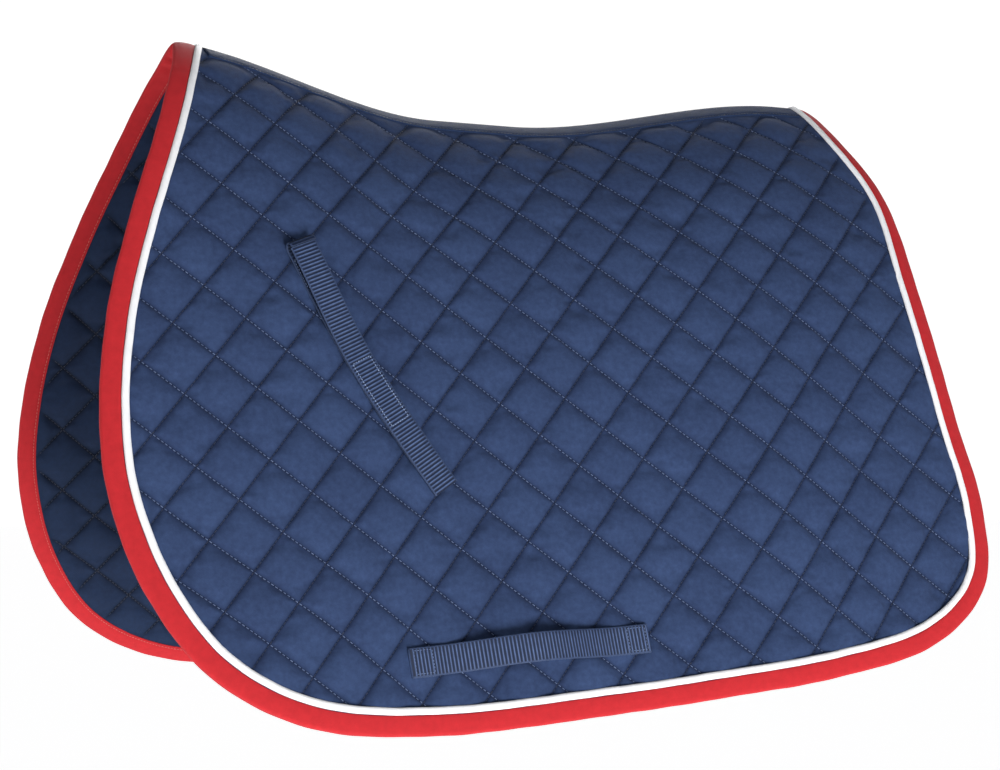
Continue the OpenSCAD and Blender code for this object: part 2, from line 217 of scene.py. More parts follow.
def outline_points(per_span=80):
    """Smooth curve through the outline's points."""
    knots = np.vstack([2 * OUTLINE[0] - OUTLINE[1], OUTLINE, 2 * OUTLINE[-1] - OUTLINE[-2]])
    f = np.linspace(0, 1, per_span, endpoint=False)[:, None]
    spans = [
        0.5 * (2 * p1 + (p2 - p0) * f + (2 * p0 - 5 * p1 + 4 * p2 - p3) * f * f
               + (3 * p1 - p0 - 3 * p2 + p3) * f ** 3)
        for p0, p1, p2, p3 in zip(knots, knots[1:], knots[2:], knots[3:])
    ]
    return np.vstack(spans + [OUTLINE[-1:]])


class Edge:
    """The outline at even steps: points, inward normals and the way across its trims."""

    def __init__(self, step):
        curve = outline_points()
        length = np.concatenate([[0], np.cumsum(np.linalg.norm(np.diff(curve, axis=0), axis=1))])
        self.s = np.linspace(0, length[-1], int(length[-1] / step) + 1)
        self.p = np.stack([np.interp(self.s, length, curve[:, k]) for k in (0, 1)], -1)
        tangent = unit(np.gradient(self.p, axis=0))
        self.n = np.stack([-tangent[:, 1], tangent[:, 0]], -1)
        turn = np.gradient(np.unwrap(np.arctan2(tangent[:, 1], tangent[:, 0])), self.s)
        self.bend = np.convolve(np.pad(turn, 12, "edge"), np.ones(25) / 25, "valid")
        # Near the spine the way across turns until it runs along the ridge
        x = self.p[:, 0]
        v = self.p[:, 1] + rise(x)
        ahead = x - np.sign(x)
        ridge = unit(np.stack([ahead - x, rise(x) - rise(ahead)], -1))
        way = mix(ridge, self.n, smooth(v / 60)[:, None])
        self.way = way / (way * self.n).sum(-1)[:, None]
        # The tape shows a little wider round the lower corners and narrower at the rear top
        w = self.p[:, 1]
        self.width = 1 + (0.08 * np.exp(-((w - 440) / 90) ** 2) * (x > 0)
                          + 0.05 * np.exp(-((w - 430) / 90) ** 2) * (x < -250)
                          - 0.22 * smooth((200 - w) / 120) * (x < 0))

    def across(self, d):
        """Pattern points a distance d in from the outline, kept on this side of the spine."""
        p = self.p[:, None] + d[..., None] * self.way[:, None]
        x = p[..., 0]
        return x, np.maximum(p[..., 1], -rise(x))


TRIM = Edge(3.0)


def edge_distance(points):
    """Distance of pattern points in from the outline, and the arc length of the nearest."""
    d = np.empty(len(points))
    s = np.empty(len(points))
    for k in range(0, len(points), 4000):
        offset = points[k:k + 4000, None] - TRIM.p[None]
        near = (offset ** 2).sum(-1).argmin(1)
        rows = np.arange(len(near))
        d[k:k + 4000] = (offset[rows, near] * TRIM.n[near]).sum(-1)
        s[k:k + 4000] = TRIM.s[near]
    return d, s


# ---- Meshes ----

def outward(points, faces):
    """The faces of a closed mesh, turned round if they look inwards."""
    corners = (points - points[0])[faces]
    volume = sum(np.einsum("ij,ij", corners[:, 0], np.cross(corners[:, k], corners[:, k + 1]))
                 for k in range(1, faces.shape[1] - 1))
    return faces[:, ::-1] if volume < -1e-12 else faces


def make_mesh(name, points, faces, pattern, material, painted_shade=None):
    """A smooth-shaded mesh object with its flat pattern kept as an attribute."""
    mesh = bpy.data.meshes.new(name)
    faces = outward(np.asarray(points, float), np.asarray(faces))
    mesh.vertices.add(len(points))
    mesh.vertices.foreach_set("co", np.asarray(points, np.float32).ravel())
    mesh.loops.add(faces.size)
    mesh.loops.foreach_set("vertex_index", faces.ravel().astype(np.int32))
    mesh.polygons.add(len(faces))
    count, corners = faces.shape
    mesh.polygons.foreach_set("loop_start", np.arange(count, dtype=np.int32) * corners)
    mesh.polygons.foreach_set("loop_total", np.full(count, corners, np.int32))
    mesh.update(calc_edges=True)
    mesh.polygons.foreach_set("use_smooth", np.ones(count, bool))
    # The second attribute is a mask of painted shade, for quilting creases and webbing valleys.
    for key, kind, part, values in (("pattern", "FLOAT_VECTOR", "vector", pattern),
                                    ("painted_shade", "FLOAT", "value", painted_shade)):
        if values is not None:
            data = mesh.attributes.new(key, kind, "POINT").data
            data.foreach_set(part, np.asarray(values, np.float32).ravel())
    mesh.materials.append(material)
    obj = bpy.data.objects.new(name, mesh)
    bpy.context.scene.collection.objects.link(obj)
    return obj


def swept(name, rings, pattern, material, painted_shade=None):
    """Closed tube through rings of points, with fans of quads over its two ends."""
    count, n = rings.shape[:2]
    k, i = np.meshgrid(np.arange(count - 1), np.arange(n), indexing="ij")
    j = (i + 1) % n
    walls = np.stack([k * n + i, k * n + j, (k + 1) * n + j, (k + 1) * n + i], -1).reshape(-1, 4)
    half = n // 2
    caps = [(m, m + 1, n - 2 - m, n - 1 - m) for m in range(half - 1)]
    start = np.array([c[::-1] for c in caps])
    end = np.array(caps) + (count - 1) * n
    faces = np.vstack([walls, start, end])
    return make_mesh(name, rings.reshape(-1, 3), faces, pattern.reshape(-1, 3), material, painted_shade)


def grid_quads(rows, cols):
    """Quads between the points of a grid, numbered row by row."""
    a = (np.arange(rows - 1)[:, None] * cols + np.arange(cols - 1)).ravel()
    return np.stack([a, a + cols, a + cols + 1, a + 1], -1)


def closed_sheet(quads, n):
    """Faces of a closed sheet: quads over n points, the same over the next n, and its rim."""
    edges = np.vstack([quads[:, [k, (k + 1) % 4]] for k in range(4)])
    key = edges.min(1) * n + edges.max(1)
    _, first, count = np.unique(key, return_index=True, return_counts=True)
    a, b = edges[first[count == 1]].T
    return np.vstack([quads, quads[:, ::-1] + n, np.stack([b, a, a + n, b + n], -1)])


def capsules(name, starts, ends, ups, radius, material):
    """Short lengths of sewing thread from starts to ends, their ends sunk into the cloth."""
    sink = 0.8
    along = ends - starts
    across = unit(np.cross(along, ups))
    middle = (starts + ends) / 2
    rings = []
    for t, r in ((-0.33, 0.85), (0, 1.0), (0.33, 0.85)):
        centre = middle + t * along - ups * radius * sink * (2 * t) ** 2
        for a in (0.25, 0.75, 1.25, 1.75):
            rings.append(centre + radius * r * (math.cos(a * math.pi) * across
                                                + math.sin(a * math.pi) * ups))
    poles = [middle + t * along - ups * radius * sink * 2 for t in (-0.5, 0.5)]
    points = np.stack(rings + poles, 1)
    n = points.shape[1]
    one = []
    for i in range(4):
        j = (i + 1) % 4
        one += [(12, i, j), (13, 8 + j, 8 + i)]
        for k in (0, 4):
            one += [(k + i, k + 4 + i, k + 4 + j), (k + i, k + 4 + j, k + j)]
    one = np.array(one)
    faces = (one[None] + n * np.arange(len(points))[:, None, None]).reshape(-1, 3)
    turn = np.tile(np.linspace(0, 1, n), len(points))
    number = np.repeat(np.arange(len(points)), n)
    pattern = np.stack([number * 0.0131, turn * 0.002, number * 0.0], -1)
    return make_mesh(name, points.reshape(-1, 3), faces, pattern, material)


# ---- Materials ----

def material(name, rough, sheen=0.0, sheen_rough=0.5, specular=0.5):
    """A new material, with short names for its nodes and its shader."""
    m = bpy.data.materials.new(name)
    m.use_nodes = True
    shader = m.node_tree.nodes["Principled BSDF"]
    for socket, value in (("Roughness", rough), ("Sheen Weight", sheen),
                          ("Sheen Roughness", sheen_rough), ("Specular IOR Level", specular)):
        shader.inputs[socket].default_value = value
    return m, Nodes(m.node_tree), shader


class Nodes:
    """Short names for the nodes that the fabrics are made of."""

    def __init__(self, tree):
        self.tree = tree

    def link(self, a, b):
        self.tree.links.new(a, b)

    def pattern(self, name="pattern"):
        """The flat pattern's coordinates, or another attribute's value."""
        node = self.tree.nodes.new("ShaderNodeAttribute")
        node.attribute_name = name
        return node.outputs["Vector"] if name == "pattern" else node.outputs["Fac"]

    def math(self, operation, a, b=0.0, c=0.0):
        node = self.tree.nodes.new("ShaderNodeMath")
        node.operation = operation
        for socket, value in zip(node.inputs, (a, b, c)):
            if isinstance(value, bpy.types.NodeSocket):
                self.link(value, socket)
            else:
                socket.default_value = value
        return node.outputs[0]

    def scaled(self, a, factor, plus):
        return self.math("MULTIPLY_ADD", a, factor, plus)

    def varied(self, shade, *noises):
        """A shade with shares of noises that lie round a half."""
        for noise, share in noises:
            shade = self.scaled(self.math("SUBTRACT", noise, 0.5), share, shade)
        return shade

    def dot(self, vector, direction):
        node = self.tree.nodes.new("ShaderNodeVectorMath")
        node.operation = "DOT_PRODUCT"
        self.link(vector, node.inputs[0])
        node.inputs[1].default_value = direction
        return node.outputs["Value"]

    def noise(self, vector, size, detail=2.0, rough=0.5):
        """Noise from 0 to 1 with features about size millimetres across."""
        node = self.tree.nodes.new("ShaderNodeTexNoise")
        self.link(vector, node.inputs["Vector"])
        node.inputs["Scale"].default_value = 1000.0 / size
        node.inputs["Detail"].default_value = detail
        node.inputs["Roughness"].default_value = rough
        return node.outputs["Fac"]

    def ridges(self, vector, direction, pitch):
        """Threads from 0 to 1 that repeat every pitch millimetres along direction."""
        wave = 2 * math.pi * 1000.0 / pitch
        return self.math("SINE", self.dot(vector, [wave * c for c in direction]))

    def mix_colour(self, share, a, b):
        node = self.tree.nodes.new("ShaderNodeMix")
        node.data_type = "RGBA"
        for socket, value in zip((node.inputs[0], node.inputs[6], node.inputs[7]), (share, a, b)):
            if isinstance(value, bpy.types.NodeSocket):
                self.link(value, socket)
            else:
                socket.default_value = (*value, 1)
        return node.outputs[2]

    def bump(self, shader, height, depth=0.05):
        """Relief whose height from 0 to 1 stands depth millimetres."""
        node = self.tree.nodes.new("ShaderNodeBump")
        node.inputs["Strength"].default_value = 1.0
        node.inputs["Distance"].default_value = depth * MM
        self.link(height, node.inputs["Height"])
        self.link(node.outputs["Normal"], shader.inputs["Normal"])


def cloth_material(name, light, dark, crease_shade_colour, pitch=0.85, sheen=0.08,
                   specular=0.2, rough=0.88):
    """Brushed cotton twill: diagonal weave, soft mottling and painted shade in the quilting
    creases.
    """
    m, n, shader = material(name, rough, sheen, 0.45, specular)
    p = n.pattern()
    twill = n.ridges(p, (0.8, 0.6, 0), pitch)
    cross = n.ridges(p, (0.35, -0.94, 0), pitch * 0.6)
    fuzz = n.noise(p, 0.5, 3.0, 0.7)
    mottle = n.noise(p, 5.0, 4.0, 0.65)
    broad = n.noise(p, 70.0, 1.0)
    shade = n.varied(n.scaled(twill, 0.10, 0.5), (mottle, 1.2), (fuzz, 0.5), (broad, 0.5))
    colour = n.mix_colour(shade, dark, light)
    # Painted shade: the cloth darkens towards the third colour along the quilting lines, where
    # shade falls in the creases.
    colour = n.mix_colour(n.pattern("painted_shade"), colour, crease_shade_colour)
    n.link(colour, shader.inputs["Base Color"])
    n.bump(shader, n.scaled(fuzz, 1.6, n.scaled(cross, 0.4, twill)))
    n.link(n.scaled(mottle, 0.16, rough - 0.08), shader.inputs["Roughness"])
    return m


def tape_material(name, light, dark, pitch, sheen, rough=0.75, specular=0.3):
    """Narrow woven tape: ribs across it and finer threads along it."""
    m, n, shader = material(name, rough, sheen, 0.4, specular)
    p = n.pattern()
    ribs = n.ridges(p, (1, 0, 0), pitch)
    threads = n.ridges(p, (0.15, 1, 0), pitch * 0.8)
    fuzz = n.noise(p, 0.6, 3.0, 0.7)
    mottle = n.noise(p, 7.0, 3.0, 0.6)
    weave = n.math("MULTIPLY", ribs, threads)
    shade = n.varied(n.scaled(weave, 0.15, 0.5), (mottle, 1.2), (fuzz, 0.6))
    n.link(n.mix_colour(shade, dark, light), shader.inputs["Base Color"])
    n.bump(shader, n.scaled(fuzz, 1.2, weave))
    n.link(n.scaled(mottle, 0.2, rough - 0.1), shader.inputs["Roughness"])
    return m


def thread_material(name, light, dark):
    """Twisted sewing thread."""
    m, n, shader = material(name, 0.45, 0.1, 0.3)
    p = n.pattern()
    twist = n.ridges(p, (0.3, 1, 0), 0.5)
    tone = n.noise(p, 13.0, 0.0)
    colour = n.mix_colour(n.scaled(twist, 0.2, tone), dark, light)
    n.link(colour, shader.inputs["Base Color"])
    n.bump(shader, twist, 0.04)
    return m


def webbing_material(name, light, dark):
    """Ribbed polyester webbing: painted shade in the valleys between the ribs, while the crowns
    keep a light colour that stands for their highlights.
    """
    m, n, shader = material(name, 0.5, 0.05, 0.3, 0.22)
    p = n.pattern()
    yarns = n.ridges(p, (0.2, 1, 0), 0.8)
    fuzz = n.noise(p, 0.7, 3.0, 0.7)
    mottle = n.noise(p, 6.0, 2.0)
    shade = n.varied(n.scaled(yarns, 0.12, 0.55), (mottle, 0.7), (fuzz, 0.6))
    colour = n.mix_colour(shade, dark, light)
    # Painted shade: the valleys between the ribs go to a very dark blue.
    colour = n.mix_colour(n.pattern("painted_shade"), colour, tuple(c * 0.4 for c in dark))
    n.link(colour, shader.inputs["Base Color"])
    n.bump(shader, n.scaled(fuzz, 0.8, yarns))
    n.link(n.scaled(mottle, 0.2, 0.42), shader.inputs["Roughness"])
    return m


# The third colour of each cloth is the painted shade of its quilting creases.
NAVY = cloth_material("navy_twill", (0.037, 0.066, 0.155), (0.014, 0.026, 0.072),
                      (0.004, 0.009, 0.032), sheen=0.02)
LINING = cloth_material("dark_navy_cotton", (0.0130, 0.028, 0.070), (0.0055, 0.012, 0.035),
                        (0.001, 0.002, 0.006), 0.7, sheen=0.02, specular=0.12, rough=0.7)
WADDING = cloth_material("polyester_wadding", (0.85, 0.85, 0.8), (0.65, 0.65, 0.6),
                         (0.5, 0.5, 0.46), 2.5)
SPINE_TAPE = tape_material("navy_tape", (0.026, 0.048, 0.120), (0.012, 0.024, 0.062), 0.7, 0.0,
                           specular=0.08)
RED_TAPE = tape_material("red_woven_tape", (0.52, 0.022, 0.028), (0.37, 0.013, 0.018), 0.55, 0.05,
                         specular=0.15)
WHITE_CORD = tape_material("white_piping", (0.86, 0.86, 0.87), (0.74, 0.75, 0.78), 0.6, 0.05,
                           rough=0.5)
# The light colour is well above the cloth's and stands for the highlights on the rib crowns: a
# painted highlight.
WEBBING = webbing_material("navy_webbing", (0.135, 0.21, 0.42), (0.020, 0.036, 0.096))
FUZZ = cloth_material("dark_fuzz", (0.02, 0.03, 0.06), (0.008, 0.014, 0.034),
                      (0.004, 0.008, 0.02), 1.3, 0.2)
# The same navy thread as the dark one, painted lighter so that its stitches show as bright dots: a
# painted glint.
PAINTED_GLINT_THREAD = thread_material("navy_thread", (0.15, 0.21, 0.37), (0.05, 0.08, 0.17))
DARK_THREAD = thread_material("dark_navy_thread", (0.020, 0.030, 0.062), (0.007, 0.012, 0.030))
RED_THREAD = thread_material("rose_thread", (0.60, 0.14, 0.12), (0.42, 0.05, 0.05))
PALE_THREAD = thread_material("pale_blue_thread", (0.34, 0.42, 0.60), (0.16, 0.22, 0.38))


# ---- Riding and replacing ----


def finish_piece(obj, body, replaced=()):
    """Hides the CAD parts it replaces, and rides on a body, or has its transform baked in for a
    side.
    """
    if replaced:
        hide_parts(*replaced)
    if body.endswith("_side"):
        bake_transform(obj)
    else:
        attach(obj, body)
    return obj


# ---- Quilting ----

def puffed_cells(cells=4, frames=25):
    """Cloth simulation of a block of quilted cells, held along their stitch lines and blown
    up. Gives each cell's displacement [x, y, z] on an even grid."""
    n = CELL_N * cells + 1
    step = QUILT_PITCH * MM / CELL_N
    rng = np.random.default_rng(7)
    i, j = np.meshgrid(range(n), range(n), indexing="ij")
    held = ((i % CELL_N == 0) | (j % CELL_N == 0)).ravel()
    start = np.stack([i.ravel() * step, j.ravel() * step,
                      np.where(held, 0, 0.0006 * rng.random(n * n))], -1)
    block = make_mesh("quilt_block", start, grid_quads(n, n), start, NAVY)
    group = block.vertex_groups.new(name="stitched")
    group.add([int(k) for k in np.flatnonzero(held)], 1.0, "REPLACE")
    cloth = block.modifiers.new("Cloth", "CLOTH")
    for setting, value in dict(
            vertex_group_mass="stitched", quality=8, mass=0.15, tension_stiffness=15,
            compression_stiffness=15, shear_stiffness=5, bending_stiffness=0.3,
            use_pressure=True, uniform_pressure_force=4.0, shrink_min=-0.035).items():
        setattr(cloth.settings, setting, value)
    cloth.settings.effector_weights.gravity = 0
    cloth.collision_settings.use_collision = False
    scene = bpy.context.scene
    scene.frame_start, scene.frame_end = 1, frames
    cloth.point_cache.frame_start, cloth.point_cache.frame_end = 1, frames
    for f in range(1, frames + 1):
        scene.frame_set(f)
    shaped = block.evaluated_get(bpy.context.evaluated_depsgraph_get())
    moved = np.zeros(3 * n * n, np.float32)
    shaped.data.vertices.foreach_get("co", moved)
    moved = (moved.reshape(-1, 3) - start * (1, 1, 0)).reshape(n, n, 3)
    bpy.data.objects.remove(block)
    scene.frame_set(1)
    return [moved[CELL_N * p:CELL_N * (p + 1) + 1, CELL_N * q:CELL_N * (q + 1) + 1]
            for p in range(cells) for q in range(cells)]


def resampled(cell):
    """A cell's displacement at CELL_LINES: sideways in millimetres and height from 0 to 1."""
    even = np.linspace(0, 1, CELL_N + 1)
    both = cell
    for axis in (0, 1):
        both = np.apply_along_axis(lambda run: np.interp(CELL_LINES, even, run), axis, both)
    both[..., :2] /= MM
    both[..., 2] = np.tanh(1.3 * both[..., 2] / 0.0042) / math.tanh(1.3)
    return both


CELLS = [resampled(c) for c in (puffed_cells())]


def quilt_grid():
    """Flat grid along the quilting lines: its points, each one's cell and place in that
    cell, and its quads."""
    corners = np.array([(x, w) for x in (-400, 430) for w in (-60, 600)]) - QUILT_ORIGIN
    spans = [corners @ d / QUILT_PITCH for d in (LINE_A, LINE_B)]
    runs = [(math.floor(s.min()), math.ceil(s.max())) for s in spans]
    lines = [np.append(np.arange(a, b)[:, None] + CELL_LINES[:-1], b) for a, b in runs]
    index = [np.append(np.repeat(np.arange(b - a), CELL_N), b - a - 1) for a, b in runs]
    place = [np.append(np.tile(np.arange(CELL_N), b - a), CELL_N) for a, b in runs]
    ga, gb = np.meshgrid(*lines, indexing="ij")
    points = quilt_points(ga, gb)
    cell = np.stack(np.meshgrid(*index, indexing="ij"), -1)
    local = np.stack(np.meshgrid(*place, indexing="ij"), -1)
    return (points.reshape(-1, 2), cell.reshape(-1, 2), local.reshape(-1, 2),
            grid_quads(*ga.shape))


def trim_to_outline(points, quads, rim):
    """Keeps the quads a distance rim inside the outline and on this side of the spine, and
    moves their rim onto those lines. Gives the points, their distance in from the outline and
    length along it, the quads kept, and each kept point's old number."""
    d, s = edge_distance(points)
    v = points[:, 1] + rise(points[:, 0])
    inside = (d > rim) & (v > 0.4)
    quads = quads[inside[quads].all(1)]
    used, quads = np.unique(quads, return_inverse=True)
    quads = quads.reshape(-1, 4)
    points, d, s, v = points[used].copy(), d[used], s[used], v[used]
    on_rim = np.bincount(quads.ravel(), minlength=len(points)) < 4
    by_spine = on_rim & (v < 12) & (v < d)
    by_edge = on_rim & ~by_spine
    near = np.abs(TRIM.s[None] - s[by_edge, None]).argmin(1)
    points[by_edge] -= (d[by_edge] - rim)[:, None] * TRIM.n[near]
    points[by_spine, 1] -= v[by_spine] - 0.3
    points[:, 1] = np.maximum(points[:, 1], 0.3 - rise(points[:, 0]))
    d, s = edge_distance(points)
    return points, d, s, quads, used


def base_height(d):
    """Height of the outer cloth where the sandwich is pressed together at its edge."""
    return -PAD_T / 4 * (1 - np.clip(d / BINDING_W, 0, 1))


def relief_share(d, v):
    """How far the quilting stands out: not under the binding, the piping or the tape."""
    return smooth((d - 13) / 12) * smooth((v - 20) / 14)


def puckers(s, d):
    """Small gathers of the cloth that run in from the binding's seam."""
    wave = np.sin(s / 2.9 + 2.1 * np.sin(s / 23) + 1.7 * np.sin(s / 9.7))
    patchy = smooth(0.5 + 0.8 * np.sin(s / 47 + 1) * np.sin(s / 19))
    return 0.45 * wave * patchy * smooth((d - 13) / 8) * (1 - smooth((d - 22) / 26))


def wrinkles(x, w):
    """Slack folds of the lining, which hangs looser than the outer cloth."""
    ways = ((0.9, 0.43, 15, 0.3), (0.75, -0.66, 19, 2.0), (0.25, 0.97, 26, 4.1))
    waves = [np.sin((x * a + w * b) / size + 2.2 * np.sin((w * a - x * b) / 43 + k) + k)
             for a, b, size, k in ways]
    return 0.9 * np.maximum(sum(waves) / 2.2, -0.4)


FLAT, CELL, LOCAL, QUADS = quilt_grid()
FLAT, EDGE_D, EDGE_S, QUADS, KEPT = trim_to_outline(FLAT, QUADS, CLOTH_RIM)
CELL, LOCAL = CELL[KEPT], LOCAL[KEPT]
SPINE_V = FLAT[:, 1] + rise(FLAT[:, 0])
RELIEF = relief_share(EDGE_D, SPINE_V)


def quilt_relief(seed):
    """Each grid point's shift in the pattern and its height from 0 on the stitch lines to 1,
    with one of the simulated cells, turned one of eight ways, in each cell."""
    rng = np.random.default_rng(seed)
    size = CELL.max(0) + 1
    which = rng.integers(len(CELLS), size=size)
    flips = rng.integers(8, size=size)
    fullness = 0.86 + 0.2 * rng.random(size)
    shift = np.zeros((len(FLAT), 2))
    height = np.zeros(len(FLAT))
    number = CELL[:, 0] * size[1] + CELL[:, 1]
    for k in np.unique(number):
        at = tuple(CELL[number == k][0])
        cell = CELLS[which[at]]
        flip = flips[at]
        if flip & 1:
            cell = cell[::-1] * (-1, 1, 1)
        if flip & 2:
            cell = cell[:, ::-1] * (1, -1, 1)
        if flip & 4:
            cell = cell.transpose(1, 0, 2)[..., [1, 0, 2]]
        i, j = LOCAL[number == k].T
        moved = cell[i, j]
        shift[number == k] = moved[:, :1] * LINE_A + moved[:, 1:2] * LINE_B
        height[number == k] = moved[:, 2] * fullness[at]
    return shift * RELIEF[:, None], height


def seam_nearness():
    """1 on a stitch line, falling quickly and then slowly to 0 beside it: the mask of the painted
    shade in the quilting creases.
    """
    t = CELL_LINES[LOCAL]
    away = QUILT_PITCH * np.minimum(t, 1 - t).min(1)
    return 0.75 * np.exp(-away / 1.2) + 0.25 * np.exp(-away / 5)


def quilted_face(facing):
    """Pattern points and heights of the outer face (facing 1) or the lining's (facing -1)."""
    shift, height = quilt_relief(12 + facing)
    x, w = (FLAT + shift).T
    relief = RELIEF * mix(-SEAM_DEPTH, PUFF_HEIGHT, height) + puckers(EDGE_S, EDGE_D)
    if facing < 0:
        relief = relief + RELIEF * height * wrinkles(*FLAT.T)
    return x, np.maximum(w, 0.2 - rise(x)), base_height(EDGE_D) + relief


FACES = {facing: quilted_face(facing) for facing in (1, -1)}


def layer(name, side, high, low, material, painted_shade):
    """A closed sheet between two faces, each given as pattern points and height."""
    points = np.vstack([on_pad(*high, SIDES[side]), on_pad(*low, SIDES[side])])
    n = len(FLAT)
    flat = np.column_stack([FLAT * MM, np.zeros(n)])
    return make_mesh(name, points, closed_sheet(QUADS, n), np.vstack([flat, flat]), material,
                     np.tile(painted_shade, 2))


def quilted_cloth(name, side, facing, material):
    """The outer cloth (facing 1) or the lining (facing -1) of one side."""
    x, w, h = FACES[facing]
    sheets = [(x, w, h), (x, w, h - CLOTH_T)]
    if facing < 0:
        sheets = [(x, w, -PAD_T - h + CLOTH_T), (x, w, -PAD_T - h)]
    # The last argument is the painted shade mask of the creases, strongest on the stitch lines.
    return layer(name, side, *sheets, material, seam_nearness() * RELIEF)


def wadding(side):
    """The soft fill between the outer cloth and the lining, just clear of both."""
    (x, w, high), (lining_x, lining_w, low) = FACES[1], FACES[-1]
    gap = CLOTH_T + 0.35
    middle = -PAD_T / 2 + (high - low) / 2
    high = np.maximum(high - gap, middle + 0.15)
    low = np.minimum(-PAD_T - low + gap, middle - 0.15)
    return layer(f"{side}_quilt_wadding", side, (x, w, high), (lining_x, lining_w, low), WADDING,
                 np.zeros(len(FLAT)))


def quilting_thread(name, side, facing, family, material):
    """Lockstitches along one family of quilting lines, 0 or 1."""
    pitch = 1 / STITCHES_PER_CELL
    reach = 30
    along = np.arange(-reach, reach, pitch) + pitch / 2
    line, along = (a.ravel() for a in np.meshgrid(np.arange(-reach, reach), along, indexing="ij"))
    if family:
        line, along = along, line
    step = 0.41 * pitch
    places = [quilt_points(along + k * (1 - family), line + k * family) for k in (-step, 0, step)]
    centres = places[1]
    near = (np.abs(centres[:, 0]) < 420) & (centres[:, 1] > -60) & (centres[:, 1] < 590)
    places = [p[near] for p in places]
    d, s = edge_distance(places[1])
    v = places[1][:, 1] + rise(places[1][:, 0])
    keep = (d > THREAD_MARGIN) & (v > THREAD_MARGIN)
    d, s, v = d[keep], s[keep], v[keep]
    before, centres, after = (p[keep] for p in places)
    h = base_height(d) - SEAM_DEPTH * relief_share(d, v) + puckers(s, d) + 0.22
    if facing < 0:
        h = -PAD_T - h
    start, end = (on_pad(*p.T, h, SIDES[side]) for p in (before, after))
    up = face_normals(*centres.T, h, facing, SIDES[side])
    return capsules(name, start, end, up, THREAD_R * MM, material)


# ---- Binding and piping ----

def binding_section():
    """Section of the folded binding: round its outside from the outer face's seam to the
    lining's, and back inside. Gives the distances in, the heights and the outside's count."""
    d_top = BINDING_W * np.array([0.995, 0.975, 0.93, 0.83, 0.69, 0.55, 0.41, 0.28, 0.16, 0.07])
    swell = np.sin(np.pi * np.clip(d_top / (0.97 * BINDING_W), 0, 1)) ** 0.7
    top = base_height(d_top) + 1.0 + 0.7 * swell
    top[:2] = 0.15, 0.7
    under = base_height(d_top) + 0.1
    under[:2] = 0.08
    a = np.radians(np.linspace(78, -78, 7))
    middle = -PAD_T / 2
    d_low = d_top[::-1]
    low = -PAD_T - (base_height(d_low) + 1.0 + 0.5 * swell[::-1])
    low += 0.5 * np.exp(-((d_low - STITCH_D) / 0.9) ** 2)
    low[-2:] = -PAD_T - 0.8, -PAD_T - 0.15
    d = np.concatenate([d_top, 0.5 - 1.9 * np.cos(a), d_low,
                        d_low[::-1], 0.6 - 1.1 * np.cos(a[::-1]), d_top[::-1]])
    h = np.concatenate([top, middle + 3.1 * np.sin(a), low,
                        (-PAD_T - under), middle + 2.2 * np.sin(a[::-1]), under[::-1]])
    return d, h, 2 * len(d_top) + len(a)


def tape_noise(s, seed):
    """Smooth unevenness along a sewn tape, between -1 and 1."""
    return (np.sin(s / 5.3 + seed) + np.sin(s / 8.9 + 2 * seed) * np.sin(s / 31 + seed)
            + np.sin(s / 17.0 + 3 * seed)) / 2.2


def binding(side):
    """The tape folded round the whole edge of one side."""
    d, h, outside = binding_section()
    is_outside = np.arange(len(d)) < outside
    by_front = TRIM.p[:, 0] > 0
    section_d = np.where(d > 0, d * TRIM.width[:, None], d)
    section_h = np.tile(h, (len(TRIM.s), 1))
    # Cross gathers: the tape is eased round the bends, so its inner edge puckers there
    gather = (0.12 + 7.0 * np.clip(np.abs(TRIM.bend), 0, 0.02)) * tape_noise(TRIM.s * 1.6, 2.0)
    share = np.clip(d / BINDING_W, 0, 1) ** 1.5
    facing = np.where(h > -PAD_T / 2, 1, -1) * is_outside
    section_h += gather[:, None] * (share * facing)[None]
    # The tape is doubled and pleated where it turns sharply over the front of the spine
    v = TRIM.p[:, 1] + rise(TRIM.p[:, 0])
    doubled = np.exp(-(v / 24) ** 2) * by_front
    section_d -= 4.2 * doubled[:, None] * smooth(1 - section_d / BINDING_W) * is_outside
    section_h += 1.3 * doubled[:, None] * ((h > -PAD_T * 0.4) * is_outside
                                           * smooth(1.2 - d / BINDING_W))
    pleats = 1.6 * np.exp(-(v / 38) ** 2) * by_front * np.sin(v / 2.1 + 0.6)
    section_h += pleats[:, None] * ((h < -PAD_T * 0.4) * is_outside
                                    * np.sin(np.pi * np.clip(d / BINDING_W + 0.15, 0, 1)))[None]
    section_d[:, :outside] += (0.25 * tape_noise(TRIM.s, 0.4)[:, None]) * (1 - share[:outside])
    rings = on_pad(*TRIM.across(section_d), section_h, SIDES[side])
    pattern = strip_pattern(TRIM.s, path_length(d, h))
    return swept(f"{side}_edge_binding", rings, pattern, RED_TAPE)


def binding_stitches(side):
    """Top stitching of the binding, sunk in its groove on the lining side."""
    pitch = 3.4
    s = np.arange(8, TRIM.s[-1] - 8, pitch)
    seam = TRIM.p + STITCH_D * TRIM.width[:, None] * TRIM.way
    ends = [np.stack([np.interp(s + offset, TRIM.s, seam[:, c]) for c in (0, 1)], -1)
            for offset in (-0.4 * pitch, 0.4 * pitch)]
    h = -PAD_T - base_height(STITCH_D) - 0.9 - 0.35
    start, end = (on_pad(*p.T, h, SIDES[side]) for p in ends)
    centre = (ends[0] + ends[1]) / 2
    up = face_normals(*centre.T, h, -1, SIDES[side])
    return capsules(f"{side}_binding_stitches", start, end, up, 0.4 * MM, RED_THREAD)


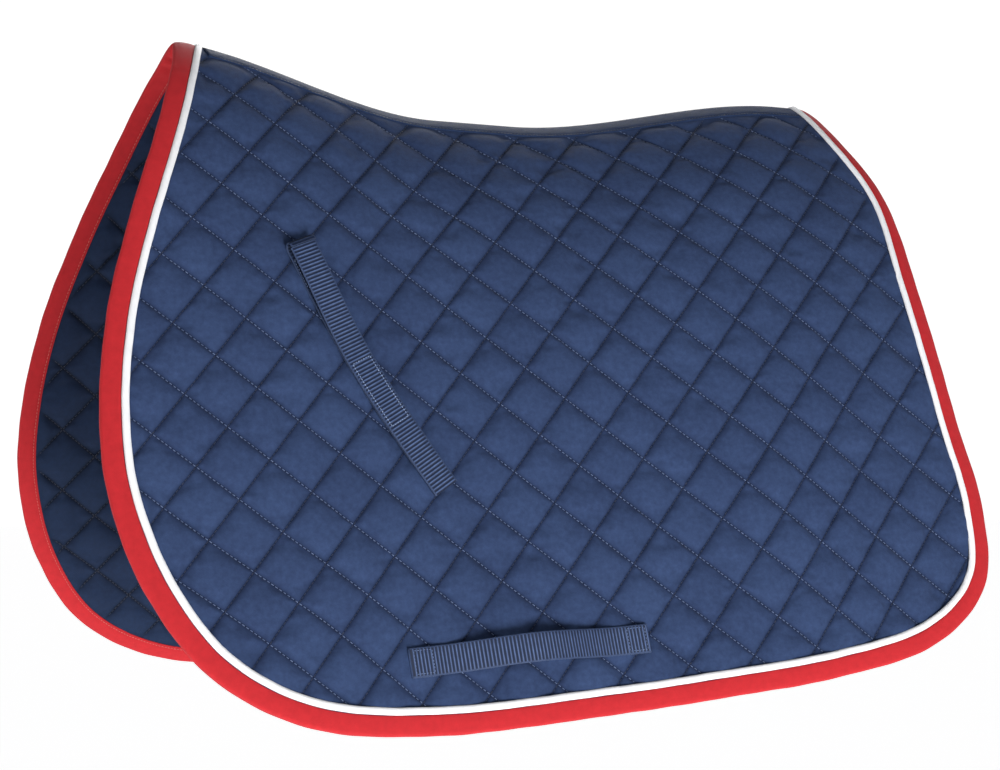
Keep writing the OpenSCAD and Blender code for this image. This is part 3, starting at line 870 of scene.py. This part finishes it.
def piping(side):
    """Covered cord sewn in beside the binding: a low round section with a flat back."""
    a = np.radians(np.linspace(-28, 208, 16))
    half = PIPING_W / 2
    centre = BINDING_W + 0.1 + half
    d = centre + half * np.cos(a)
    h = 1.0 + (PIPING_H - 1.0) * np.sin(a)
    h = np.maximum(h, 0.12)
    back_d = centre + half * np.array([-0.62, -0.2, 0.2, 0.62])
    d = np.concatenate([d, back_d])
    h = np.concatenate([h, np.full(4, 0.05)])
    wobble = 0.16 * tape_noise(TRIM.s, 5.0)[:, None]
    lift = 1 + 0.05 * tape_noise(TRIM.s * 1.3, 1.0)[:, None]
    section_d = d + BINDING_W * (TRIM.width[:, None] - 1) + wobble
    rings = on_pad(*TRIM.across(section_d), h[None] * lift, SIDES[side])
    pattern = strip_pattern(TRIM.s, path_length(d, h))
    return swept(f"{side}_edge_piping", rings, pattern, WHITE_CORD)


# ---- Tapes over the spine seam ----

def spine_xs():
    """Stations of the spine tapes, from trim to trim."""
    margin = BINDING_W + 0.6 * PIPING_W
    return np.arange(OUTLINE[-1, 0] + margin, OUTLINE[0, 0] - margin, 3.0)


def spine_tape(name, facing):
    """Folded tape along the ridge, sewn near both edges."""
    xs = spine_xs()
    v = SPINE_TAPE_W * np.array([1, 0.975, 0.93, 0.885, 0.84, 0.7, 0.55, 0.4, 0.25, 0.12, 5e-5])
    high = np.array([0.55, 1.1, 1.25, 0.85, 1.25, 1.3, 1.2, 1.15, 1.1, 1.1, 1.1])
    low = np.full(len(v), 0.2)
    low[0] = 0.25
    halves = []
    for side in (1, -1):
        ragged = 0.35 * tape_noise(xs, 1.0 + side)[:, None] * (v / SPINE_TAPE_W)[None] ** 4
        lift = (0.18 * tape_noise(xs * 1.2, 4.0 + side)[:, None]
                * np.sin(np.pi * v / SPINE_TAPE_W)[None])
        x = np.tile(xs[:, None], (1, len(v)))
        w = np.maximum(v[None] + ragged, 1e-3) - rise(x)
        rows = []
        for h in (high[None] + lift, low[None] + 0 * lift):
            h = h if facing > 0 else -PAD_T - h
            rows.append(on_pad(x, w, h, side))
        halves.append(rows)
    (left_high, left_low), (right_high, right_low) = halves
    rings = np.concatenate([left_high, right_high[:, -2::-1], right_low, left_low[:, -2::-1]], 1)
    girth = np.concatenate([-v, v[-2::-1], 60 - v, 60 + v[-2::-1]])
    return swept(name, rings, strip_pattern(xs, girth), SPINE_TAPE)


def spine_stitches(name, facing):
    """A row of stitches along each edge of a spine tape."""
    pitch = 3.2
    seam_v = 0.885 * SPINE_TAPE_W
    xs = np.arange(spine_xs()[0] + 3, spine_xs()[-1] - 3, pitch)
    parts = []
    h = 0.95 if facing > 0 else -PAD_T - 0.95
    for side in (1, -1):
        ends = [on_pad(xs + o, seam_v - rise(xs + o), h, side) for o in (-0.4 * pitch, 0.4 * pitch)]
        parts.append((*ends, face_normals(xs, seam_v - rise(xs), h, facing, side)))
    start, end, up = (np.vstack(a) for a in zip(*parts))
    return capsules(name, start, end, up, 0.34 * MM, DARK_THREAD)


# ---- Webbing straps ----

WEB_W = 24.0
RIB = 3.1
STRAP_STITCH = 2.6
BASE_H = 1.15
EYE_R = 5.5
BILLET_LEN, GIRTH_LEN = 235.0, 212.0
# Each strap: where it starts, the way it runs in degrees, its length and its bow
BILLET = ((240.5, 174.0), 117.3, BILLET_LEN, 7.0)
GIRTH = ((180.0, 525.0), 183.0, GIRTH_LEN, 0.0)
PATCH_START, PATCH_LEN, PATCH_T = 107.0, 62.0, 1.2
TAB_TOP_H = BASE_H + 2 * EYE_R
TAB_REST_H = BASE_H + 1.5 + 2 * PATCH_T + 0.6
GIRTH_H, GIRTH_BOW, SEWN_END = BASE_H + 2.1, 14.0, 22.0


def strap_points(strap, u, s):
    """Pattern points u along and s across a strap, which may bow at its middle."""
    origin, turn, length, bow = strap
    a = math.radians(turn)
    bend = np.pi * u / length
    lean = -bow * np.pi / length * np.cos(bend)
    along = u - s * lean / np.hypot(1, lean)
    aside = -bow * np.sin(bend) + s / np.hypot(1, lean)
    return (origin[0] + along * math.cos(a) - aside * math.sin(a),
            origin[1] + along * math.sin(a) + aside * math.cos(a))


def even_path(u, h, step):
    """A path of [u, h] resampled at even steps, with its unit normal to the upper face."""
    length = path_length(u, h)
    at = np.linspace(0, length[-1], int(length[-1] / step) + 1)
    u, h = np.interp(at, length, u), np.interp(at, length, h)
    du, dh = np.gradient(u), np.gradient(h)
    norm = np.hypot(du, dh)
    return at, u, h, -dh / norm, du / norm


def webbing(name, side, strap, path, shift=0.0, pressed=(), tone=0.0):
    """Ribbed webbing along a path of [u, h] stations. It is pressed flatter between the [from, to]
    lengths in pressed, and carries painted shade of at least tone, from 0 to 1, all over."""
    at, u, h, nu, nh = even_path(*path, 0.42)
    s = WEB_W / 2 * np.array([-1, -0.985, -0.93, -0.88, -0.5, 0, 0.5, 0.88, 0.93, 0.985, 1])
    ribbed = np.array([0, 0, 0, 0.75, 1, 1, 1, 0.75, 0, 0, 0])
    edge_t = np.array([0.25, 0.5, 0.6, 0.5, 0.5, 0.5, 0.5, 0.5, 0.6, 0.5, 0.25])
    rib = np.abs(np.cos(np.pi * at / RIB)) ** 1.1
    soft = np.ones(len(at))
    for a, b in pressed:
        soft = np.minimum(soft, 1 - 0.55 * smooth((at - a) / 2) * smooth((b - at) / 2))
    top = edge_t[None] + 0.42 * ribbed[None] * (rib * soft)[:, None]
    rows = []
    for facing in (1, -1):
        t = facing * top
        x, w = strap_points(strap, u[:, None] + t * nu[:, None], s[None] + shift + 0 * t)
        rows.append(on_pad(x, w, h[:, None] + t * nh[:, None], side))
    rings = np.concatenate([rows[0], rows[1][:, ::-1]], 1)
    pattern = strip_pattern(at, np.concatenate([s, s[::-1] + 30]))
    # Painted shade: full in the valleys between the ribs, 0.7 on the plain edges, and never less
    # than tone, which darkens a ply that lies in shade.
    crown = np.tile(ribbed, 2)[None] * (rib ** 6)[:, None]
    valley_shade = np.maximum(1 - crown, tone) * np.where(np.tile(ribbed, 2) > 0, 1, 0.7)
    return swept(name, rings, pattern, WEBBING, valley_shade.ravel())


def webbing_stitches(name, side, strap, lines, height, material):
    """Stitches along straight lines [(u, s), (u, s)] at a height that depends on u."""
    parts = []
    for (u0, s0), (u1, s1) in lines:
        count = max(2, round(math.hypot(u1 - u0, s1 - s0) / STRAP_STITCH))
        t = (np.arange(count) + 0.5) / count
        half = 0.38 / count
        places = []
        for share in (t - half, t + half, t):
            u = mix(u0, u1, share)
            places.append((*strap_points(strap, u, mix(s0, s1, share)), height(u)))
        start, end, centre = places
        parts.append((on_pad(*start, side), on_pad(*end, side), face_normals(*centre, 1, side)))
    starts, ends, ups = (np.vstack(a) for a in zip(*parts))
    return capsules(name, starts, ends, ups, THREAD_R * MM, material)


def tab_h(u):
    """Height of the middle of the billet's upper ply."""
    return (TAB_REST_H + (TAB_TOP_H - TAB_REST_H) * (1 - smooth(u / PATCH_START))
            - 1.4 * smooth((u - PATCH_START - PATCH_LEN) / 70))


def box_lines(u0, u1, s):
    """The four sides of a sewn box, from u0 to u1 along a strap and s either way across."""
    return [((u0, -s), (u1, -s)), ((u1, -s), (u1, s)), ((u1, s), (u0, s)), ((u0, s), (u0, -s))]


def fuzzy_patch(name, side, low, high, seed):
    """Hook and loop patch: a thin strip with a fuzzy face."""
    rng = np.random.default_rng(seed)
    u = np.arange(PATCH_START, PATCH_START + PATCH_LEN + 0.1, 1.0)
    s = np.linspace(-WEB_W / 2 + 2, WEB_W / 2 - 2, 21)
    uu, ss = np.meshgrid(u, s, indexing="ij")
    x, w = strap_points(BILLET, uu, ss)
    fuzz = rng.random(uu.shape) * 0.35
    inner = np.ones(uu.shape)
    inner[[0, -1]] = 0
    inner[:, [0, -1]] = 0
    face = high - math.copysign(1, high - low) * fuzz * inner
    points = np.vstack([on_pad(x, w, h, side).reshape(-1, 3) for h in (face, low)])
    faces = closed_sheet(grid_quads(*uu.shape), uu.size)
    flat = strip_pattern(u, s).reshape(-1, 3)
    return make_mesh(name, points, faces, np.vstack([flat, flat]), FUZZ, np.zeros(len(points)))


def billet(side):
    """The billet strap of one side: its sewn ply, its free tab, their patches and threads."""
    sign = SIDES[side]
    turn = np.radians(np.linspace(-90, -268, 24))
    u = np.concatenate([[BILLET_LEN, 60, 0.5], EYE_R * np.cos(turn)])
    h = np.concatenate([[BASE_H, BASE_H, BASE_H], BASE_H + EYE_R + EYE_R * np.sin(turn)])
    # The lower ply lies under the tab and is painted at least 0.75 of the way to the valley colour
    # all over: painted shade.
    base = webbing(f"{side}_billet_lower_webbing", sign, BILLET, (u[::-1], h[::-1]), shift=1.3,
                   tone=0.75)
    finish_piece(base, f"{side}_flap", [f"{side}_billet_base"])
    u = np.linspace(0.5, BILLET_LEN, 80)
    tab = webbing(f"{side}_billet_tab_webbing", sign, BILLET, (u, tab_h(u)),
                  pressed=[(PATCH_START - 2, PATCH_START + 2),
                           (PATCH_START + PATCH_LEN - 2, PATCH_START + PATCH_LEN + 2)])
    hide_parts(f"{side}_billet_tab")
    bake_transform(tab)
    lines = box_lines(PATCH_START + 1, PATCH_START + PATCH_LEN - 1, WEB_W / 2 - 3.2)
    stitches = webbing_stitches(f"{side}_billet_box_stitches", sign, BILLET, lines,
                                lambda u: tab_h(u) + 0.95, PALE_THREAD)
    finish_piece(stitches, f"{side}_billet_tab")
    loop_low = BASE_H + 0.95
    loop = fuzzy_patch(f"{side}_billet_loop_fuzz", sign, loop_low, loop_low + PATCH_T, 21)
    finish_piece(loop, f"{side}_flap", [f"{side}_billet_loop_patch"])
    hook_high = TAB_REST_H - 0.95
    hook = fuzzy_patch(f"{side}_billet_hook_fuzz", sign, hook_high, hook_high - PATCH_T, 22)
    finish_piece(hook, f"{side}_billet_tab", [f"{side}_billet_hook_patch"])
    # These stitches use the thread that is painted lighter for a glint.
    sewn = webbing_stitches(f"{side}_billet_base_stitches", sign, BILLET,
                            box_lines(8, 34, WEB_W / 2 - 3) + [((8, -9), (34, 9))],
                            lambda u: 0 * u + BASE_H + 0.95, PAINTED_GLINT_THREAD)
    finish_piece(sewn, f"{side}_flap")


def girth_strap(side):
    """The girth strap of one side, folded under and sewn down at both ends."""
    sign = SIDES[side]
    radius = (GIRTH_H - BASE_H) / 2
    turn = np.radians(np.linspace(-90, -270, 9))
    front_u = radius + radius * np.cos(turn)
    fold_h = BASE_H + radius + radius * np.sin(turn)
    span = GIRTH_LEN - 2 * SEWN_END
    k = np.linspace(0, 1, 60)
    u = np.concatenate([[SEWN_END - 1], front_u, SEWN_END + span * k, GIRTH_LEN - front_u[::-1],
                        [GIRTH_LEN - SEWN_END + 1]])
    h = np.concatenate([[BASE_H], fold_h, GIRTH_H + GIRTH_BOW * np.sin(np.pi * k) ** 2,
                        fold_h[::-1], [BASE_H]])
    strap = webbing(f"{side}_girth_webbing", sign, GIRTH, (u, h))
    finish_piece(strap, f"{side}_flap", [f"{side}_girth_strap"])
    s = WEB_W / 2 - 2.6
    lines = []
    for a, b in ((3.0, SEWN_END - 3.0), (GIRTH_LEN - SEWN_END + 3.0, GIRTH_LEN - 3.0)):
        lines += box_lines(a, b, s)
    # These stitches use the thread that is painted lighter for a glint.
    stitches = webbing_stitches(f"{side}_girth_stitches", sign, GIRTH, lines,
                                lambda u: 0 * u + GIRTH_H + 0.9, PAINTED_GLINT_THREAD)
    finish_piece(stitches, f"{side}_flap")


# ---- Put the pad together ----

for side in SIDES:
    on_side = f"{side}_side"
    for piece, slot, node in (
            (quilted_cloth(f"{side}_quilted_outer", side, 1, NAVY), "outer_cloth", "outer"),
            (quilted_cloth(f"{side}_quilted_lining", side, -1, LINING), "lining_cloth", "lining"),
            (wadding(side), "wadding", "wadding")):
        finish_piece(piece, on_side, [f"{side}_{node}", f"crown_{side}_{node}"])
    # One family of the outer quilting gets the thread painted lighter for a glint; the other gets
    # the plain dark thread.
    for family, thread in enumerate((PAINTED_GLINT_THREAD, DARK_THREAD)):
        for layer_name, facing, colour in (("outer", 1, thread), ("lining", -1, DARK_THREAD)):
            finish_piece(quilting_thread(f"{side}_{layer_name}_quilting_thread_{family}", side,
                                         facing, family, colour), on_side)
    finish_piece(binding(side), on_side,
                 [f"{side}_binding", "front_crown_binding", "rear_crown_binding"])
    finish_piece(binding_stitches(side), on_side)
    finish_piece(piping(side), on_side,
                 [f"{side}_piping", "front_crown_piping", "rear_crown_piping"])
    billet(side)
    girth_strap(side)

for kind, facing, node in (("binding", 1, "spine_tape"), ("cover", -1, "spine_seam_tape")):
    finish_piece(spine_tape(f"spine_seam_{kind}", facing), "crown", [node])
    finish_piece(spine_stitches(f"spine_{kind}_stitches", facing), "crown")


# ---- Floor, lights and camera ----

def floor():
    """A pale floor, far enough down to leave room for the low key light."""
    low = cad_low.z - 1.6
    size = 30.0
    corners = [(-size, -size, low), (size, -size, low), (size, size, low), (-size, size, low)]
    m, n, shader = material("pale_floor", 0.9)
    tone = n.noise(n.pattern(), 400.0)
    n.link(n.mix_colour(tone, (0.95, 0.95, 0.95), (0.97, 0.97, 0.97)), shader.inputs["Base Color"])
    shader.inputs["Emission Color"].default_value = (1, 1, 1, 1)
    shader.inputs["Emission Strength"].default_value = 0.82
    plane = make_mesh("studio_floor", corners, [(0, 1, 2, 3)], corners, m)


def area_light(name, target, direction, distance, size, power):
    """A round soft light that faces the target from a direction."""
    data = bpy.data.lights.new(name, "AREA")
    data.shape = "DISK"
    data.size = size
    data.energy = power
    lamp = bpy.data.objects.new(name, data)
    bpy.context.scene.collection.objects.link(lamp)
    way = Vector(direction).normalized()
    lamp.location = target + way * distance
    lamp.rotation_mode = "QUATERNION"
    lamp.rotation_quaternion = way.to_track_quat("Z", "Y")


def camera():
    """The photograph's view: level, from the left front, with a slight roll."""
    azimuth, elevation, roll = math.radians(23.98), math.radians(-0.8), math.radians(0.956)
    distance = 1893 * MM
    target = Vector((5.0, 0.0, SPINE_TOP - 239.2)) * MM
    back = Vector((math.sin(azimuth) * math.cos(elevation), math.cos(azimuth) * math.cos(elevation),
                   math.sin(elevation)))
    right = Vector((-math.cos(azimuth), math.sin(azimuth), 0))
    up = back.cross(right)
    turned_right = right * math.cos(roll) + up * math.sin(roll)
    turned_up = up * math.cos(roll) - right * math.sin(roll)
    data = bpy.data.cameras.new("camera")
    data.sensor_width = 36.0
    data.lens = 36.0 * 2.0514
    cam = bpy.data.objects.new("camera", data)
    bpy.context.scene.collection.objects.link(cam)
    axes = Matrix((turned_right, turned_up, back)).transposed().to_4x4()
    cam.matrix_world = Matrix.Translation(target + back * distance) @ axes
    bpy.context.scene.camera = cam
    return target, back, right


def studio():
    """White all round as the camera sees it, with less light from above than the sides."""
    target, back, right = camera()
    world = bpy.data.worlds.new("studio")
    world.use_nodes = True
    n = Nodes(world.node_tree)
    nodes = world.node_tree.nodes
    sky = nodes["Background"]
    sky.inputs["Strength"].default_value = 1.08
    height = n.dot(nodes.new("ShaderNodeTexCoord").outputs["Generated"], (0, 0, 1))
    share = n.math("MULTIPLY", n.math("SUBTRACT", height, 0.22), 1.8)
    share = n.math("MINIMUM", n.math("MAXIMUM", share, 0.0), 1.0)
    light = n.mix_colour(share, (0.44, 0.44, 0.44), (0.05, 0.05, 0.055))
    seen = nodes.new("ShaderNodeLightPath").outputs["Is Camera Ray"]
    n.link(n.mix_colour(seen, light, (1.0, 1.0, 1.0)), sky.inputs["Color"])
    bpy.context.scene.world = world
    bpy.context.scene.view_settings.view_transform = "Standard"
    up = Vector((0, 0, 1))
    area_light("key", target, back - 0.35 * up + 0.45 * right, 2.4, 0.8, 52)
    area_light("fill", target, back - 0.1 * up - 0.9 * right, 2.6, 1.8, 14)
    area_light("behind", target, 0.9 * up - back, 2.8, 1.6, 75)


floor()
studio()
